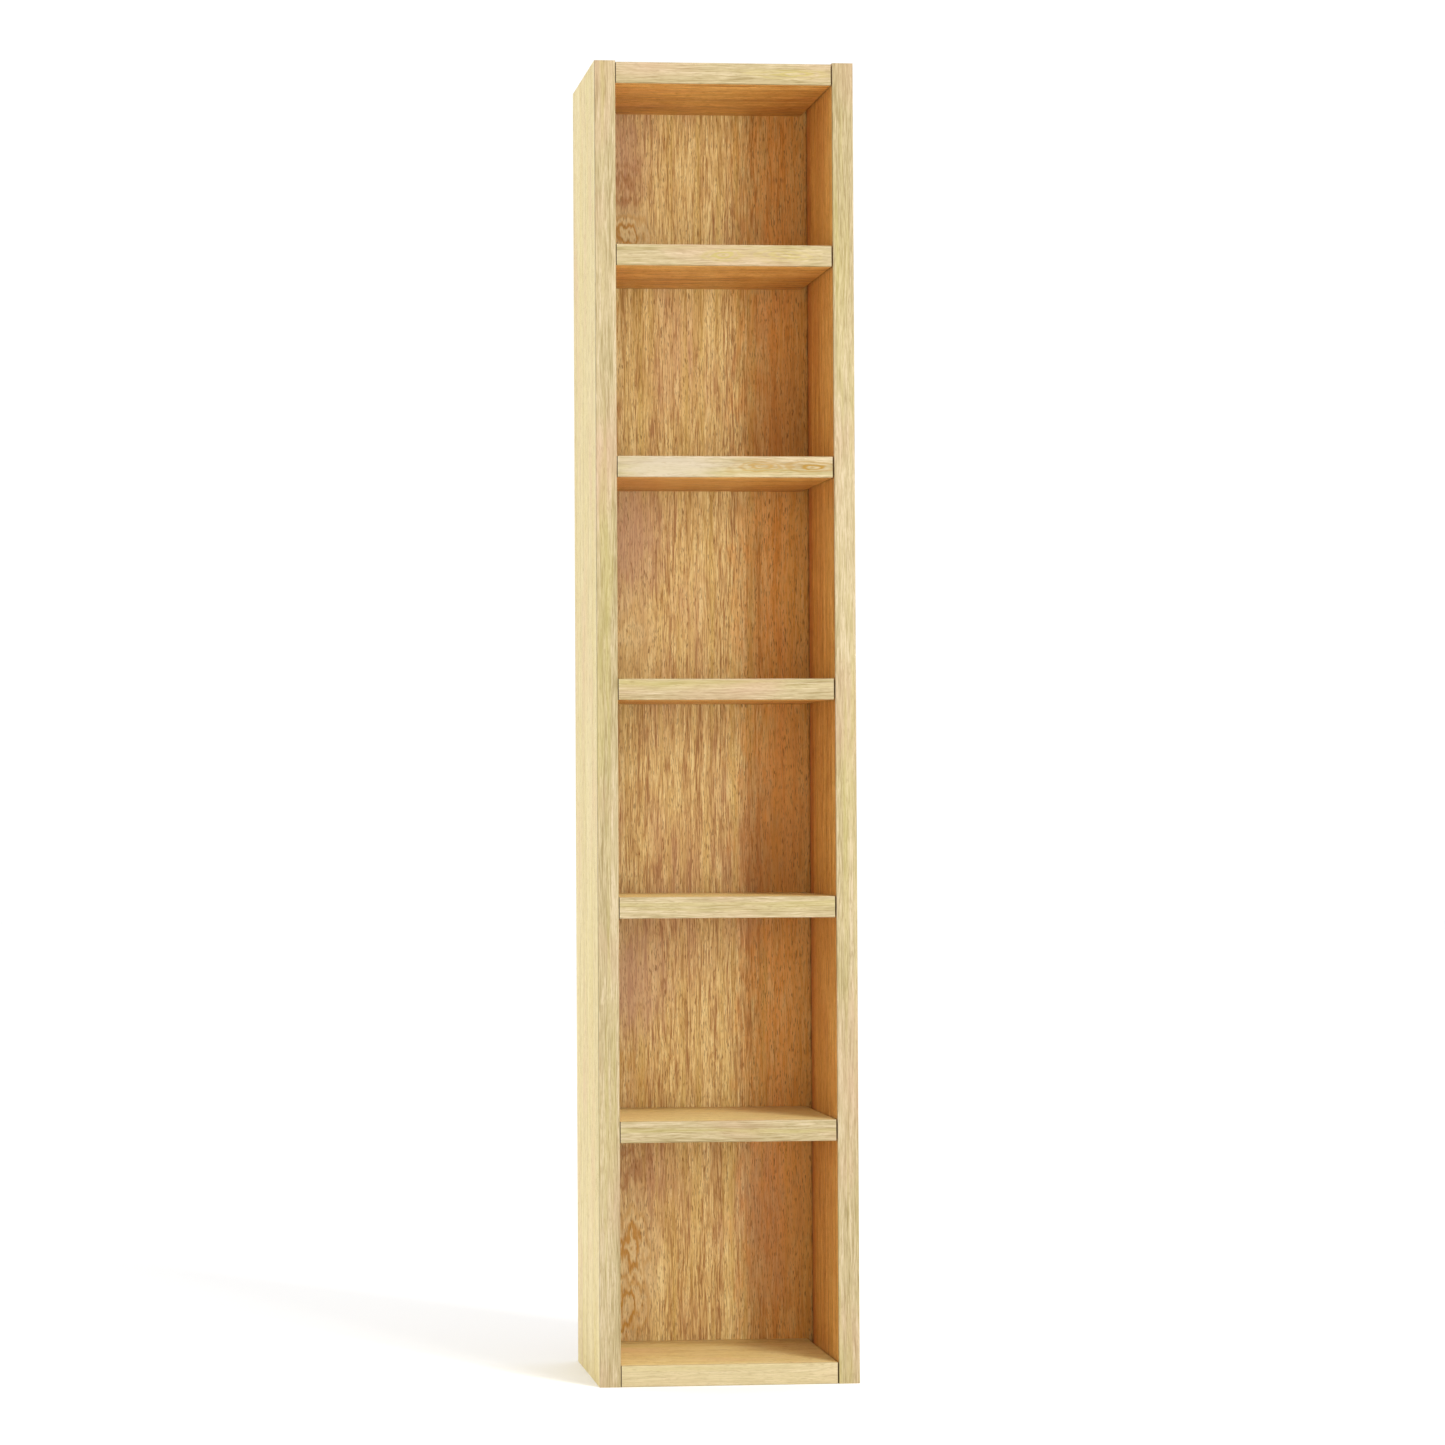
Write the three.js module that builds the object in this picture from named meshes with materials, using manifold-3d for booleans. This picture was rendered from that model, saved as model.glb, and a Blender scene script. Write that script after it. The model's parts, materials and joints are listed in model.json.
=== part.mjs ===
// A tall, narrow, open-fronted oak shelf tower with six compartments.
//
// Millimetres, +Z up. The tower faces -Y and stands on z = 0. The origin is the middle of its footprint.
// Two full-height sides hold a top and a bottom board on glued dowels. A thin back panel drops into the
// rebates of the sides and is screwed to the top and the bottom. Five loose shelves hang on steel pins
// hidden in grooves in their ends, so each one draws straight forward off its pins.

import * as THREE from 'three';
import { mergeVertices } from 'three/addons/utils/BufferGeometryUtils.js';
import Module from 'manifold-3d';

const wasm = await Module();
wasm.setup();

// ---- Driving dimensions ------------------------------------------------------------------------

const boardThickness = 18;
const outerWidth = 222;
const outerDepth = 168;
const sideHeight = 1123;
const topDrop = 1;                     // the top board sits this far below the ends of the sides
const innerDepth = 160;                // from the front edges to the back panel
const clearHeights = [187.5, 171.5, 167, 171, 162, 137];   // the compartments, from the floor up

const lippingThickness = 2;            // solid strip glued to each front edge
const lippingEase = 1;                 // radius of its two front arrises
const fixedEndGap = { left: 0.5, right: 1.1 };     // the top and bottom boards
const looseEndGap = { left: 0.5, right: 1.25 };    // the shelves, which lie close to the left side
const backGap = 0.25;                  // between the boards' rear edges and the back panel

const rebateStart = 131;               // from the front edge to the shoulder of the rebate
const rebateDepth = 8;                 // into the side's inner face
const backThickness = 6;
const backSideGap = 0.5;               // the back panel, in each rebate
const backEndGap = 1;                  // the back panel, at the floor and at the top board's upper face

const pin = { radius: 2.5, length: 16, inSide: 8, chamfer: 0.5 };
const pinFromFront = [34, 114];        // the two pins at each end of a shelf
const pinHole = { radius: 2.7, depth: 9 };
const groove = { height: 5.5, depth: 9, stop: 26 };   // in the shelf's end, closed at the front

const dowel = { radius: 4, length: 30, inSide: 11, chamfer: 1 };
const dowelHole = { radius: 4.2, inSide: 12, inBoard: 20 };
const dowelFromFront = [26, 68, 110];

const screw = { length: 16, shankRadius: 1.6, headRadius: 3.5, headHeight: 2.2, tip: 3 };
const screwClearance = 0.2;
const screwPilotExtra = 1;             // the pilot hole is this much deeper than the screw
const screwSpacing = 66;               // three screws across the back, at the top and at the bottom

const roundSides = 12;                 // facets round a pin, dowel, screw or hole
const overcut = 2;                     // how far a cutter reaches past the face that it opens

// ---- Positions that follow from them -------------------------------------------------------------

const frontY = -outerDepth / 2;
const boardFrontY = frontY + lippingThickness;
const boardRearY = frontY + innerDepth - backGap;
const backFrontY = frontY + innerDepth;
const backRearY = backFrontY + backThickness;
const innerX = outerWidth / 2 - boardThickness;
const topUndersideZ = sideHeight - topDrop - boardThickness;

const shelfUndersides = clearHeights.slice(0, -1).map((_, index) => {
  const clearBelow = clearHeights.slice(0, index + 1).reduce((sum, height) => sum + height, 0);
  return clearBelow + boardThickness * (index + 1);
});

const sides = [{ name: 'left', sign: -1 }, { name: 'right', sign: 1 }];
const fixedBoards = [{ name: 'bottom', undersideZ: 0 }, { name: 'top', undersideZ: topUndersideZ }];

// ---- Materials -------------------------------------------------------------------------------------

const oakVeneer = new THREE.MeshStandardMaterial({ color: 0xc28a4e, roughness: 0.55, metalness: 0 });
const oakBack = new THREE.MeshStandardMaterial({ color: 0xb98450, roughness: 0.6, metalness: 0 });
const oakLipping = new THREE.MeshStandardMaterial({ color: 0xd9c190, roughness: 0.5, metalness: 0 });
const beechDowel = new THREE.MeshStandardMaterial({ color: 0xd8b98a, roughness: 0.7, metalness: 0 });
const zincSteel = new THREE.MeshStandardMaterial({ color: 0xb9bcc0, roughness: 0.35, metalness: 1 });

// ---- Solids ----------------------------------------------------------------------------------------

function toManifold(geometry) {
  const bare = geometry.clone();
  bare.deleteAttribute('normal');
  bare.deleteAttribute('uv');
  const merged = mergeVertices(bare, 1e-4);
  return new wasm.Manifold(new wasm.Mesh({
    numProp: 3,
    vertProperties: new Float32Array(merged.attributes.position.array),
    triVerts: new Uint32Array(merged.index.array),
  }));
}

function toGeometry(solid) {
  const mesh = solid.getMesh();
  const geometry = new THREE.BufferGeometry();
  geometry.setAttribute('position', new THREE.BufferAttribute(mesh.vertProperties, 3));
  geometry.setIndex(new THREE.BufferAttribute(mesh.triVerts, 1));
  return geometry;
}

function cut(geometry, cutters) {
  const solid = cutters.reduce((rest, cutter) => rest.subtract(toManifold(cutter)), toManifold(geometry));
  return toGeometry(solid);
}

function boxBetween(low, high) {
  const size = high.map((value, axis) => value - low[axis]);
  const middle = high.map((value, axis) => (value + low[axis]) / 2);
  return new THREE.BoxGeometry(...size).translate(...middle);
}

// A round bar along X, from x = 0 to x = length, with an even chamfer on both ends.
function barAlongX(radius, length, chamfer = 0) {
  const outline = [
    new THREE.Vector2(0, 0),
    new THREE.Vector2(radius - chamfer, 0),
    new THREE.Vector2(radius, chamfer),
    new THREE.Vector2(radius, length - chamfer),
    new THREE.Vector2(radius - chamfer, length),
    new THREE.Vector2(0, length),
  ];
  const profile = chamfer > 0 ? outline : [outline[0], outline[2], outline[3], outline[5]];
  return new THREE.LatheGeometry(profile, roundSides).rotateZ(-Math.PI / 2);
}

// A bar or a hole that starts at x = from and runs outward on the side that sign names.
function outwardBar(sign, from, y, z, radius, length, chamfer = 0) {
  const bar = barAlongX(radius, length, chamfer);
  if (sign < 0) {
    bar.rotateZ(Math.PI);
  }
  return bar.translate(sign * from, y, z);
}

// A countersunk screw along Y: the flat of its head is at y = 0 and it points to -Y. With a clearance
// it is the hole that the screw needs.
function screwGeometry(clearance = 0, extraLength = 0) {
  const length = screw.length + extraLength;
  const shank = screw.shankRadius + clearance;
  const head = screw.headRadius + clearance;
  const above = clearance > 0 ? overcut : 0;
  const outline = [
    new THREE.Vector2(0, -length),
    new THREE.Vector2(shank, -length + screw.tip),
    new THREE.Vector2(shank, -screw.headHeight),
    new THREE.Vector2(head, -clearance),
    new THREE.Vector2(head, above),
    new THREE.Vector2(0, above),
  ];
  if (clearance === 0) {
    outline.splice(4, 1);
  }
  return new THREE.LatheGeometry(outline, roundSides);
}

// The strip on a front edge, standing along +Z, with its two front arrises eased.
function lippingGeometry(length) {
  const half = boardThickness / 2;
  const shape = new THREE.Shape();
  shape.moveTo(half, lippingThickness);
  shape.lineTo(-half, lippingThickness);
  shape.lineTo(-half, lippingEase);
  shape.absarc(-half + lippingEase, lippingEase, lippingEase, Math.PI, 1.5 * Math.PI);
  shape.lineTo(half - lippingEase, 0);
  shape.absarc(half - lippingEase, lippingEase, lippingEase, 1.5 * Math.PI, 2 * Math.PI);
  shape.closePath();
  const strip = new THREE.ExtrudeGeometry(shape, { depth: length, bevelEnabled: false, curveSegments: 3 });
  return strip.translate(0, frontY, 0);
}

// The same strip lying along X, from one end of a board to the other.
function acrossLipping({ left, right }) {
  const strip = lippingGeometry(right - left).rotateY(Math.PI / 2);
  return strip.translate(left, 0, boardThickness / 2);
}

// Where a board that fits between the sides begins and ends.
function boardEnds(gap) {
  return { left: -innerX + gap.left, right: innerX - gap.right };
}

// At half the thickness of the board whose underside is given.
function dowelPlaces(undersideZ) {
  return dowelFromFront.map((fromFront) => ({ y: frontY + fromFront, z: undersideZ + boardThickness / 2 }));
}

function pinPlaces(undersideZ) {
  return pinFromFront.map((fromFront) => ({ y: frontY + fromFront, z: undersideZ + boardThickness / 2 }));
}

function screwPlaces(undersideZ) {
  return [-screwSpacing, 0, screwSpacing].map((x) => ({ x, z: undersideZ + boardThickness / 2 }));
}

// ---- Pieces ------------------------------------------------------------------------------------------

const tower = new THREE.Group();

function addPiece(parent, name, geometry, material) {
  const mesh = new THREE.Mesh(geometry, material);
  mesh.name = name;
  parent.add(mesh);
  return mesh;
}

// A side: a full-height board with a wide rebate along the rear of its inner face, and blind holes for
// the dowels and the shelf pins.
function sideGeometry(sign) {
  const outline = [
    [innerX, boardFrontY],
    [innerX, frontY + rebateStart],
    [innerX + rebateDepth, frontY + rebateStart],
    [innerX + rebateDepth, frontY + outerDepth],
    [outerWidth / 2, frontY + outerDepth],
    [outerWidth / 2, boardFrontY],
  ];
  const shape = new THREE.Shape(outline.map(([x, y]) => new THREE.Vector2(sign * x, y)));
  const board = new THREE.ExtrudeGeometry(shape, { depth: sideHeight, bevelEnabled: false });
  const allDowels = fixedBoards.flatMap(({ undersideZ }) => dowelPlaces(undersideZ));
  const dowelCutters = allDowels.map(({ y, z }) => outwardBar(
    sign, innerX - overcut, y, z, dowelHole.radius, dowelHole.inSide + overcut));
  const pinCutters = shelfUndersides.flatMap(pinPlaces).map(({ y, z }) => outwardBar(
    sign, innerX - overcut, y, z, pinHole.radius, pinHole.depth + overcut));
  return cut(board, [...dowelCutters, ...pinCutters]);
}

function addSide({ name, sign }) {
  addPiece(tower, `side_${name}`, sideGeometry(sign), oakVeneer);
  const lipping = addPiece(tower, `lipping_side_${name}`, lippingGeometry(sideHeight), oakLipping);
  lipping.position.x = sign * (innerX + boardThickness / 2);
}

// The top or the bottom board, with dowel holes in its ends and screw holes in its rear edge.
function fixedBoardGeometry(undersideZ) {
  const ends = boardEnds(fixedEndGap);
  const board = boxBetween(
    [ends.left, boardFrontY, undersideZ],
    [ends.right, boardRearY, undersideZ + boardThickness]);
  const dowelCutters = sides.flatMap(({ sign }) => dowelPlaces(undersideZ).map(({ y, z }) => outwardBar(
    sign, innerX - dowelHole.inBoard, y, z, dowelHole.radius, dowelHole.inBoard + overcut)));
  const screwCutters = screwPlaces(undersideZ).map(({ x, z }) => (
    screwGeometry(screwClearance, screwPilotExtra).translate(x, backRearY, z)));
  return cut(board, [...dowelCutters, ...screwCutters]);
}

function addFixedBoard(name, undersideZ) {
  addPiece(tower, `${name}_panel`, fixedBoardGeometry(undersideZ), oakVeneer);
  const strip = acrossLipping(boardEnds(fixedEndGap));
  const lipping = addPiece(tower, `lipping_${name}`, strip, oakLipping);
  lipping.position.z = undersideZ;
}

// A loose shelf in its own group, with a groove along each end that is open at the rear.
function shelfGeometry() {
  const { left, right } = boardEnds(looseEndGap);
  const board = boxBetween([left, boardFrontY, 0], [right, boardRearY - backGap, boardThickness]);
  const low = (boardThickness - groove.height) / 2;
  const spans = [[left - overcut, left + groove.depth], [right - groove.depth, right + overcut]];
  const grooves = spans.map(([from, to]) => boxBetween(
    [from, frontY + groove.stop, low],
    [to, boardRearY + overcut, low + groove.height]));
  return cut(board, grooves);
}

function addShelf(index, undersideZ) {
  const shelf = new THREE.Group();
  shelf.position.z = undersideZ;
  tower.add(shelf);
  addPiece(shelf, `shelf_${index}`, shelfGeometry(), oakVeneer);
  addPiece(shelf, `lipping_shelf_${index}`, acrossLipping(boardEnds(looseEndGap)), oakLipping);
}

function addShelfPins(index, undersideZ) {
  const rows = ['front', 'rear'];
  const from = innerX + pin.inSide - pin.length;
  sides.forEach(({ name, sign }) => {
    pinPlaces(undersideZ).forEach(({ y, z }, place) => {
      const bar = outwardBar(sign, from, y, z, pin.radius, pin.length, pin.chamfer);
      addPiece(tower, `shelf_pin_${index}_${name}_${rows[place]}`, bar, zincSteel);
    });
  });
}

function addDowels(level, undersideZ) {
  const from = innerX + dowel.inSide - dowel.length;
  sides.forEach(({ name, sign }) => {
    dowelPlaces(undersideZ).forEach(({ y, z }, place) => {
      const bar = outwardBar(sign, from, y, z, dowel.radius, dowel.length, dowel.chamfer);
      addPiece(tower, `dowel_${level}_${name}_${place + 1}`, bar, beechDowel);
    });
  });
}

function addBackPanel() {
  const halfWidth = innerX + rebateDepth - backSideGap;
  const panel = boxBetween(
    [-halfWidth, backFrontY, backEndGap],
    [halfWidth, backRearY, sideHeight - topDrop - backEndGap]);
  const allScrews = fixedBoards.flatMap(({ undersideZ }) => screwPlaces(undersideZ));
  const holes = allScrews.map(({ x, z }) => (
    screwGeometry(screwClearance, screwPilotExtra).translate(x, backRearY, z)));
  addPiece(tower, 'back_panel', cut(panel, holes), oakBack);
}

function addBackScrews(level, undersideZ) {
  screwPlaces(undersideZ).forEach(({ x, z }, place) => {
    const geometry = screwGeometry().translate(x, backRearY, z);
    addPiece(tower, `back_screw_${level}_${place + 1}`, geometry, zincSteel);
  });
}

sides.forEach(addSide);
addBackPanel();
fixedBoards.forEach(({ name, undersideZ }) => {
  addFixedBoard(name, undersideZ);
  addDowels(name, undersideZ);
  addBackScrews(name, undersideZ);
});
shelfUndersides.forEach((undersideZ, place) => {
  addShelf(place + 1, undersideZ);
  addShelfPins(place + 1, undersideZ);
});

export default tower;
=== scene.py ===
# %% [markdown]
# # An open oak shelf tower
#
# The real thing is a tall, narrow, open-fronted tower: two full-height sides, a top, a bottom, five loose
# shelves and a thin back. The boards are faced with oak veneer, and each front edge wears a strip of paler
# solid oak. Steel pins hide in grooves in the shelves' ends. This lesson builds every piece around the frame,
# which already knows where each one is, so all positions are read from it.

import json
import math

import bmesh
import bpy
from mathutils import Matrix, Vector


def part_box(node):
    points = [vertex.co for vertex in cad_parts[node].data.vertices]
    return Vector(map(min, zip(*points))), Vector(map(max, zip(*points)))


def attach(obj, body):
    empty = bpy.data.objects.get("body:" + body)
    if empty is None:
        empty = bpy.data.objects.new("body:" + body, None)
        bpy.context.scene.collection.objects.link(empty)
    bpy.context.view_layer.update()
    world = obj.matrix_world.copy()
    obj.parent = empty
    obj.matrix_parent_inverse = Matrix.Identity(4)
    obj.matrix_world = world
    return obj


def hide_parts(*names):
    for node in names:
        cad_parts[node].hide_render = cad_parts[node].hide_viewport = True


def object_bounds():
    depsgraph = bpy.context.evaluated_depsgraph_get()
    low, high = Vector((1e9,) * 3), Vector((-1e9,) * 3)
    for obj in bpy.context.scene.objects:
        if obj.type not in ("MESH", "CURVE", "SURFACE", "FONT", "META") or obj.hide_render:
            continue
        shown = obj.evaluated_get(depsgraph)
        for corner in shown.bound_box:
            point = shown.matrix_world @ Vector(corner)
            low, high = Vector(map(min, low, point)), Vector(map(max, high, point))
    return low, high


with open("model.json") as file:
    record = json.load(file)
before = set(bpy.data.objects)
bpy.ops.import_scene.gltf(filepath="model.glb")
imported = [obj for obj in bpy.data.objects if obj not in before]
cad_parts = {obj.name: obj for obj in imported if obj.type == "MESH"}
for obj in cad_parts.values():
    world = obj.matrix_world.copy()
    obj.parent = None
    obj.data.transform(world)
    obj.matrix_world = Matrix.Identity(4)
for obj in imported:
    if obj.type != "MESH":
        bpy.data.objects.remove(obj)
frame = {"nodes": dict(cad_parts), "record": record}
frame_low, frame_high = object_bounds()
scene = bpy.context.scene
MM = 0.001
print("frame size in mm:", [round(side / MM, 1) for side in frame_high - frame_low])

# %% [markdown]
# ## The camera
#
# The tower is seen from its left, with the eye well below the middle, through a long lens. A little sideways
# shift keeps the boards' front edges nearly level, as a view camera would; the rest is a plain turn of the
# camera towards the tower. A turn of a quarter of a degree about the lens tips the verticals slightly.

# %% Place the camera
EYE_BESIDE = 0.507
EYE_DISTANCE = 3.45
EYE_HEIGHT = 0.4925
AIM_BESIDE = 0.004
FIELD_WIDTH = 1.214
SIDE_SHIFT = 0.15
ROLL = math.radians(0.225)

front_y = frame_low.y
middle = (frame_low + frame_high) / 2
eye = Vector((middle.x - EYE_BESIDE, front_y - EYE_DISTANCE, EYE_HEIGHT))
camera_data = bpy.data.cameras.new("camera")
camera_data.sensor_width = 36
camera_data.lens = camera_data.sensor_width * EYE_DISTANCE / FIELD_WIDTH
camera_data.shift_x = SIDE_SHIFT
camera = bpy.data.objects.new("camera", camera_data)
scene.collection.objects.link(camera)
scene.camera = camera

aim = Vector((middle.x - AIM_BESIDE, front_y, middle.z)) - eye
bearing = math.atan2(aim.x, aim.y)
shift_angle = math.atan(SIDE_SHIFT * camera_data.sensor_width / camera_data.lens)
pitch = math.atan2(aim.z, aim.xy.length)
turn = Matrix.Rotation(shift_angle - bearing, 4, "Z")
tilt = Matrix.Rotation(math.pi / 2 + pitch, 4, "X")
camera.matrix_world = Matrix.Translation(eye) @ turn @ tilt @ Matrix.Rotation(-ROLL, 4, "Z")
scene.view_settings.view_transform = "Standard"
print("lens in mm:", round(camera_data.lens, 1), "bearing in degrees:", round(math.degrees(bearing), 2))

# %% [markdown]
# ## Colours and nodes
#
# Colours are written as the sRGB hex values that a paint chart gives, and one function turns them to the
# linear values that a shader mixes. One more function adds a node, with its settings and its links.

# %% Colour and node helpers


def linear(hex_colour):
    """sRGB hex to a linear RGBA colour."""
    channels = [int(hex_colour[place : place + 2], 16) / 255 for place in (1, 3, 5)]
    return [c / 12.92 if c <= 0.04045 else ((c + 0.055) / 1.055) ** 2.4 for c in channels] + [1.0]


def add(tree, kind, inputs=None, **settings):
    """Adds a shader node. An input is a socket to link, or a value to set."""
    node = tree.nodes.new("ShaderNode" + kind)
    for name, value in settings.items():
        setattr(node, name, value)
    for name, value in (inputs or {}).items():
        if isinstance(value, bpy.types.NodeSocket):
            tree.links.new(value, node.inputs[name])
        else:
            node.inputs[name].default_value = value
    return node


def new_material(name):
    material = bpy.data.materials.new(name)
    material.use_nodes = True
    material.node_tree.nodes.clear()
    return material, material.node_tree


# %% [markdown]
# ## Light, floor and background
#
# A white studio: the walls all round give a soft, even light. A tall, narrow softbox stands in front and to
# the right, and throws the right side's soft shadow on the back panel. A second one hangs high up, in front
# and further to the right, and lights mainly the front part of each shelf. Their sizes set how soft the
# shadows are.

# %% Studio lights
WALL_LIGHT = 1.05
TALL_BOX_TURN = math.radians(20.7)
TALL_BOX_DISTANCE = 3.2
TALL_BOX_HEIGHT = 0.8
TALL_BOX_SIZE = (0.25, 1.6)
TALL_BOX_POWER = 31
TOP_BOX_PLACE = (2.2, -3.5, 4.8)
TOP_BOX_SIZE = (1.0, 0.8)
TOP_BOX_POWER = 165

world = bpy.data.worlds.new("white studio")
scene.world = world
world.use_nodes = True
world_tree = world.node_tree
world_tree.nodes.clear()
walls = add(world_tree, "Background", {"Color": linear("#ffffff"), "Strength": WALL_LIGHT})
add(world_tree, "OutputWorld", {"Surface": walls.outputs[0]})


def softbox(name, place, target, size, power):
    """A rectangular light that faces the target."""
    data = bpy.data.lights.new(name, "AREA")
    data.shape = "RECTANGLE"
    data.size, data.size_y = size
    data.energy = power
    light = bpy.data.objects.new(name, data)
    scene.collection.objects.link(light)
    light.location = place
    light.rotation_euler = (Vector(target) - Vector(place)).to_track_quat("-Z", "Y").to_euler()


tall_place = (
    middle.x + TALL_BOX_DISTANCE * math.sin(TALL_BOX_TURN),
    front_y - TALL_BOX_DISTANCE * math.cos(TALL_BOX_TURN),
    TALL_BOX_HEIGHT,
)
softbox("tall softbox", tall_place, (middle.x, front_y, TALL_BOX_HEIGHT), TALL_BOX_SIZE, TALL_BOX_POWER)
softbox("top softbox", TOP_BOX_PLACE, middle, TOP_BOX_SIZE, TOP_BOX_POWER)
print("softboxes at", [tuple(round(value, 2) for value in place) for place in (tall_place, TOP_BOX_PLACE)])

# %% [markdown]
# The floor is a wide white disc, so large that its rim is lost in the white all round. A very fine bump keeps
# the paint from looking like a mirror. It belongs to the studio and is no piece of the tower.

# %% Studio floor
FLOOR_RADIUS = 14
FLOOR_SIDES = 96
PAINT_GRAIN = 60.0
PAINT_BUMP = 0.05
PAINT_ROUGHNESS = 0.8

floor_bm = bmesh.new()
bmesh.ops.create_circle(floor_bm, cap_ends=True, radius=FLOOR_RADIUS, segments=FLOOR_SIDES)
floor_mesh = bpy.data.meshes.new("studio_floor")
floor_bm.to_mesh(floor_mesh)
floor_bm.free()
floor = bpy.data.objects.new("studio_floor", floor_mesh)
scene.collection.objects.link(floor)

floor_paint, floor_tree = new_material("white studio paint")
floor_grain = add(floor_tree, "TexNoise", {"Scale": PAINT_GRAIN, "Detail": 4.0})
floor_bump = add(floor_tree, "Bump", {
    "Height": floor_grain.outputs["Fac"],
    "Strength": PAINT_BUMP,
    "Distance": MM,
})
floor_shader = add(floor_tree, "BsdfPrincipled", {
    "Base Color": linear("#fafafa"),
    "Roughness": PAINT_ROUGHNESS,
    "Normal": floor_bump.outputs[0],
})
add(floor_tree, "OutputMaterial", {"Surface": floor_shader.outputs[0]})
floor.data.materials.append(floor_paint)
print("floor of radius", FLOOR_RADIUS, "m")

# %% [markdown]
# ## Reading the grain
#
# A printed sheet of wood grain pasted on a board would run the wrong way over its edges. Here the pattern is
# solid: it is worked out in three dimensions, so that it bends round an eased arris and cuts off on an end,
# as it does in the tree. Each board gets a place of its own in the tree, and the helpers stretch noise along
# the grain.

# %% Grain helpers
GRAIN_ORDER = {"X": (1, 2, 0), "Z": (0, 1, 2)}


def along_grain(point, grain):
    """A point's coordinates in the order across, through and along the grain."""
    return tuple(point[axis] for axis in GRAIN_ORDER[grain])


def grain_space(tree, grain):
    """The piece's own coordinates, turned so that Z runs along the grain."""
    place = add(tree, "TexCoord").outputs["Object"]
    parts = add(tree, "SeparateXYZ", {0: place}).outputs
    return add(tree, "CombineXYZ", dict(enumerate(along_grain(parts, grain)))).outputs[0]


def stretched_noise(tree, vector, width, length, **inputs):
    """Noise with features of one width across the grain, and of one length along it."""
    size = (1 / width, 1 / width, 1 / length)
    scaled = add(tree, "VectorMath", {0: vector, 1: size}, operation="MULTIPLY")
    values = {"Vector": scaled.outputs[0], "Scale": 1.0, "Detail": 2.0, "Roughness": 0.5}
    return add(tree, "TexNoise", {**values, **inputs})


def spread(tree, value, low, high, to_low=0.0, to_high=1.0):
    """The value's range from low to high, laid out from to_low to to_high."""
    inputs = {"Value": value, "From Min": low, "From Max": high, "To Min": to_low, "To Max": to_high}
    return add(tree, "MapRange", inputs).outputs["Result"]


def sums(tree, first, *others, operation="ADD"):
    """The values added up, or joined one after the other by another operation."""
    for other in others:
        first = add(tree, "Math", {0: first, 1: other}, operation=operation).outputs[0]
    return first


def blend_colour(tree, factor, first, second):
    """Two colours mixed: sockets, or linear values."""
    return add(tree, "Mix", {0: factor, 6: first, 7: second}, data_type="RGBA").outputs[2]


# %% [markdown]
# ## Figures in the veneer, and patches of painted light and shade
#
# Where the knife passes near a branch or the top of a growth ring, oak shows a flame or a swirl. Each one
# here is a set of wavy rings round a centre, fading out at its rim. With no rings it is a plain patch of
# colour; several plain patches, on the back panel, beside the rebates and on the bottom strip, are painted
# light and shade.

# %% Figure
SWIRL_WIDTH = 7 * MM
SWIRL_LENGTH = 26 * MM
RING_RANGE = (-0.8, 0.8)
RING_WEAKEST = 0.15
RIM_RANGE = (0.3, 1.0)


def figure(tree, place, colour, grain, centre, size, rings, tint, strength):
    """Lays one figure over a colour; some plain patches laid with it are painted light and shade. size is its
    half width and its half length.
    """
    wave = stretched_noise(tree, place, SWIRL_WIDTH, SWIRL_LENGTH, Detail=3.0).outputs["Color"]
    wave = add(tree, "VectorMath", {0: wave, 1: (0.5, 0.5, 0.5)}, operation="SUBTRACT").outputs[0]
    from_centre = add(tree, "VectorMath", {0: place, 1: along_grain(centre, grain)}, operation="SUBTRACT")
    shrink = (1 / size[0], 1 / size[0], 1 / size[1])
    reach = add(tree, "VectorMath", {0: from_centre.outputs[0], 1: shrink, 2: wave}, operation="MULTIPLY_ADD")
    radius = add(tree, "VectorMath", {0: reach.outputs[0]}, operation="LENGTH").outputs["Value"]
    turns = sums(tree, radius, 2 * math.pi * rings, operation="MULTIPLY")
    ring = add(tree, "Math", {0: turns}, operation="COSINE").outputs[0]
    rings_part = spread(tree, ring, *RING_RANGE, RING_WEAKEST, 1)
    rim_part = spread(tree, radius, *RIM_RANGE, strength, 0)
    factor = sums(tree, rings_part, rim_part, operation="MULTIPLY")
    return blend_colour(tree, factor, colour, linear(tint))


# %% [markdown]
# ## Oak
#
# Oak veneer is a thin leaf sliced from the log, glued down, sanded and given a satin lacquer. Oak is ring
# porous: the early wood has open pores that show as short dark dashes, with fibres running between them and
# paler and darker years side by side. The pores of real oak are about 0.3 mm wide. From across a room they
# would vanish, so they are drawn 0.6 mm wide, and the lines of grain between them 0.75 mm wide. The lacquer
# gives the eye a soft, broad shine.

# %% Oak material
PORE_WIDTH = 0.6 * MM
PORE_LENGTH = 6 * MM
LINE_WIDTH = 0.75 * MM
LINE_LENGTH = 24 * MM
FIBRE_WIDTH = 2.2 * MM
FIBRE_LENGTH = 60 * MM
YEAR_WIDTH = 9 * MM
YEAR_LENGTH = 340 * MM
CLOUD_WIDTH = 50 * MM
CLOUD_LENGTH = 120 * MM
WANDER = 5 * MM
WANDER_WIDTH = 30 * MM
WANDER_LENGTH = 90 * MM
PORE_RANGE = (0.56, 0.65)
EARLY_WOOD_RANGE = (0.35, 0.6)
LINE_RANGE = (0.36, 0.64)
FIBRE_RANGE = (0.35, 0.65)
YEAR_RANGE = (0.35, 0.65)
PATCH_RANGE = (0.5, 0.7)
SHEEN_RANGE = (0.3, 0.7)
LINE_TONE = 0.34
FIBRE_TONE = 0.16
YEAR_TONE = 0.14
TONE_STOPS = (0.1, 0.37, 0.63, 0.9)
ROSY_STRENGTH = 0.45
YELLOW_STRENGTH = 0.5
PORE_DULLING = 0.2
LINE_HEIGHT = 0.5
GRAIN_BUMP = 0.6
OAK_IOR = 1.5
OAK_SPECULAR = 0.2
LACQUER_WEIGHT = 0.08
LACQUER_ROUGHNESS = 0.35
GRAIN_RELIEF = 0.1 * MM


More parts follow.
